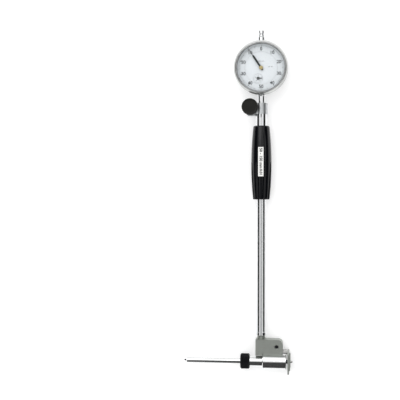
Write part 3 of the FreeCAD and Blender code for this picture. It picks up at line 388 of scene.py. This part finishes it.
def buildSeams():
    shape = bmesh.new()
    for radius, half, level in (
            (paintedShadeRings["innerRadius"], paintedShadeRings["innerHalf"], crystalTop + paintedShadeRings["innerLift"]),
            (paintedShadeRings["outerRadius"], paintedShadeRings["outerHalf"], bezelTop)):
        low, high = level - paintedShadeRings["sunk"], level + paintedShadeRings["proud"]
        corners = [shape.verts.new((radius + x, 0, z))
                   for x, z in ((-half, low), (half, low), (half, high), (-half, high))]
        profile = shape.faces.new(corners)
        geometry = [profile, *profile.edges, *corners]
        bmesh.ops.spin(shape, geom=geometry, axis=(0, 0, 1), cent=(0, 0, 0), steps=96,
                       angle=2 * math.pi, use_merge=True)
    bmesh.ops.remove_doubles(shape, verts=shape.verts, dist=0.000001)
    # these blued-steel rings are painted shade lines, not real seams or grooves
    finishPiece("bezelPaintedShade", shape, "bluedSteel", "rotating_bezel")

buildSeams()
print("seams drawn")

def knurledBand(shape, radius, length, size):
    # a drum round Z from 0 to length; its low corners change sides from row to row, so the ridges cross
    made = bmesh.ops.create_circle(shape, cap_ends=True, segments=2 * size["ridges"],
                                   radius=radius - size["chamfer"])
    cap = list({face for vert in made["verts"] for face in vert.link_faces})
    rows, band = size["rows"], length - 2 * size["chamfer"]
    steps = [(radius, size["chamfer"] + band * row / rows) for row in range(rows + 1)]
    steps.append((radius - size["chamfer"], length))
    for number, (reach, height) in enumerate(steps):
        grown = bmesh.ops.extrude_face_region(shape, geom=cap)["geom"]
        if number:
            bmesh.ops.delete(shape, geom=cap, context="FACES_ONLY")
        cap = [part for part in grown if isinstance(part, bmesh.types.BMFace)]
        ring = [part for part in grown if isinstance(part, bmesh.types.BMVert)]
        for place, vert in enumerate(sorted(ring, key=lambda v: math.atan2(v.co.y, v.co.x))):
            low = place % 2 == number % 2 and number < len(steps) - 1
            factor = (reach - size["depth"] * low) / vert.co.xy.length
            vert.co = (vert.co.x * factor, vert.co.y * factor, height)
    return cap[0]

nut = {"ridges": 44, "depth": 0.0005, "rows": 8, "chamfer": 0.0009}

def buildNut():
    nutLow, nutHigh = spanOf("lock_nut")
    shape = bmesh.new()
    radius, length = (nutHigh.z - nutLow.z) / 2, nutHigh.x - nutLow.x
    knurledBand(shape, radius, length, nut)
    middle = (nutLow + nutHigh) / 2
    place = Matrix.Translation((nutLow.x, middle.y, middle.z)) @ Matrix.Rotation(math.pi / 2, 4, "Y")
    bmesh.ops.transform(shape, matrix=place, verts=shape.verts)
    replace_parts(finishPiece("knurledNut", shape, "blackenedSteel", "nut"), "lock_nut")

buildNut()

knob = {
    "ridges": 40, "depth": 0.00035, "rows": 4, "chamfer": 0.0006,
    "dishRadius": 0.0062, "dishDepth": 0.0004, "under": 0.0008,
}

def buildKnob():
    knobLow, knobHigh = spanOf("clamp_knob")
    shape = bmesh.new()
    radius, length = (knobHigh.x - knobLow.x) / 2, knobHigh.z - knobLow.z - knob["under"]
    top = knurledBand(shape, radius, length, knob)
    bmesh.ops.inset_region(shape, faces=[top], thickness=radius - knob["chamfer"] - knob["dishRadius"])
    bmesh.ops.translate(shape, vec=(0, 0, -knob["dishDepth"]), verts=top.verts)
    middle = (knobLow + knobHigh) / 2
    bmesh.ops.translate(shape, vec=(middle.x, middle.y, knobLow.z + knob["under"]), verts=shape.verts)
    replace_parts(finishPiece("knurledKnob", shape, "blackKnob", "knob"), "clamp_knob")

buildKnob()
print("knurls cut")

# the strip's print: the words, their height, and how far up the strip they stand
label = {"lines": (("50 - 150 mm", 0.0040, 0.0035), ("0.01", 0.0036, -0.0106)), "weight": 0.00014}

def printLabel():
    labelLow, labelHigh = spanOf("grip_label")
    middle = (labelLow + labelHigh) / 2
    upward = Matrix.Rotation(-math.pi / 2, 4, "Z")
    meshes = []
    for text, height, up in label["lines"]:
        place = Matrix.Translation((middle.x, middle.y + up, labelHigh.z)) @ upward
        meshes.append(textMesh(text, height, place, label["weight"]))
    finishPiece("labelPrint", joinMeshes(meshes), "blackInk", "holder")

printLabel()
print("strip printed")

# the camera looks down on the part, which lies on its back
view = {
    "place": (0.05775, -0.118, 1.0), "aim": (-0.06333, -0.13443, 0.011),
    "lens": 86.86, "sensor": 36, "near": 0.05, "far": 20,
}

def placeCamera():
    camera = bpy.data.cameras.new("camera")
    camera.lens, camera.sensor_width, camera.sensor_height = view["lens"], view["sensor"], view["sensor"]
    camera.clip_start, camera.clip_end = view["near"], view["far"]
    holder = addObject("camera", camera)
    away = Vector(view["place"]) - Vector(view["aim"])
    across = Vector((0, 1, 0)).cross(away).normalized()
    upward = away.cross(across).normalized()
    turn = Matrix((across, upward, away.normalized())).transposed().to_4x4()
    holder.matrix_world = Matrix.Translation(view["place"]) @ turn
    bpy.context.scene.camera = holder

placeCamera()

studio = {
    "floorSize": 3.0, "floorColor": (0.80, 0.80, 0.80), "floorGlow": 0.34,
    "floorDrop": 0.0001, "floorRough": 0.9,
    "lampSize": 1.4, "lampPower": 6.0, "lampPlace": (-0.35, 0.75, 1.3), "lampAim": (0, -0.13, 0),
    "worldStrength": 1.0,
    # brightness of the side panels seen across, and of the upper panel seen along the tube
    "acrossStops": ((0.0, 0.04), (0.12, 0.06), (0.26, 0.95), (0.62, 1.0), (0.72, 0.02), (1.0, 0.02)),
    "alongStops": ((0.0, 0.02), (0.43, 0.02), (0.50, 0.30), (0.55, 1.0), (0.9, 1.0), (1.0, 0.6)),
    "maskStops": ((0.0, 1.0), (0.5, 1.0), (0.8, 0.0), (1.0, 0.0)),
}

def setStops(ramp, stops):
    elements = ramp.color_ramp.elements
    elements[0].position, elements[0].color = stops[0][0], (stops[0][1],) * 3 + (1,)
    elements[1].position, elements[1].color = stops[-1][0], (stops[-1][1],) * 3 + (1,)
    for position, level in stops[1:-1]:
        elements.new(position).color = (level, level, level, 1)

def lightWorld():
    world = bpy.data.worlds.new("studio")
    bpy.context.scene.world = world
    world.use_nodes = True
    tree = world.node_tree
    background = tree.nodes["Background"]
    spot = addNode(tree, "ShaderNodeTexCoord").outputs["Generated"]
    parts = addNode(tree, "ShaderNodeSeparateXYZ", [(0, spot)])
    sideways = addMath(tree, "ABSOLUTE", parts.outputs["X"])
    across = addNode(tree, "ShaderNodeValToRGB", [("Fac", sideways)])
    setStops(across, studio["acrossStops"])
    half = addMath(tree, "MULTIPLY_ADD", parts.outputs["Y"], 0.5, 0.5)
    along = addNode(tree, "ShaderNodeValToRGB", [("Fac", half)])
    setStops(along, studio["alongStops"])
    mask = addNode(tree, "ShaderNodeValToRGB", [("Fac", sideways)])
    setStops(mask, studio["maskStops"])
    upper = addMath(tree, "MULTIPLY", along.outputs["Color"], mask.outputs["Color"])
    both = addMath(tree, "MAXIMUM", across.outputs["Color"], upper)
    path = addNode(tree, "ShaderNodeLightPath")
    plain = addMath(tree, "MAXIMUM", path.outputs["Is Camera Ray"], path.outputs["Is Diffuse Ray"])
    mix = addNode(tree, "ShaderNodeMix", [("Factor", plain), ("A", both)], data_type="FLOAT")
    mix.inputs["B"].default_value = 1.0
    tree.links.new(mix.outputs["Result"], background.inputs["Color"])
    background.inputs["Strength"].default_value = studio["worldStrength"]

lightWorld()

def lightLamp():
    lamp = bpy.data.lights.new("softbox", "AREA")
    lamp.shape, lamp.size, lamp.energy = "DISK", studio["lampSize"], studio["lampPower"]
    holder = addObject("softbox", lamp)
    place = Vector(studio["lampPlace"])
    turn = (Vector(studio["lampAim"]) - place).to_track_quat("-Z", "Y").to_matrix().to_4x4()
    holder.matrix_world = Matrix.Translation(place) @ turn

lightLamp()

def layFloor():
    shape = bmesh.new()
    bmesh.ops.create_grid(shape, x_segments=1, y_segments=1, size=studio["floorSize"] / 2)
    low = min(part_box(name)[0][2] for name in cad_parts)
    bmesh.ops.translate(shape, vec=(0, 0, low - studio["floorDrop"]), verts=shape.verts)
    mesh = bpy.data.meshes.new("floor")
    shape.to_mesh(mesh)
    shape.free()
    floor = addObject("floor", mesh)
    material = bpy.data.materials.new("paleFloor")
    material.use_nodes = True
    tree = material.node_tree
    shader = tree.nodes["Principled BSDF"]
    shader.inputs["Base Color"].default_value = (*studio["floorColor"], 1)
    shader.inputs["Roughness"].default_value = studio["floorRough"]
    shader.inputs["Emission Color"].default_value = (1, 1, 1, 1)
    path = addNode(tree, "ShaderNodeLightPath")
    seen = addMath(tree, "MAXIMUM", path.outputs["Is Camera Ray"], path.outputs["Is Glossy Ray"])
    seen = addMath(tree, "MAXIMUM", seen, path.outputs["Is Transmission Ray"])
    glow = addMath(tree, "MULTIPLY", seen, studio["floorGlow"])
    tree.links.new(glow, shader.inputs["Emission Strength"])
    mesh.materials.append(material)

layFloor()
bpy.context.scene.view_settings.view_transform = "Standard"
print("camera, lamps and floor set")
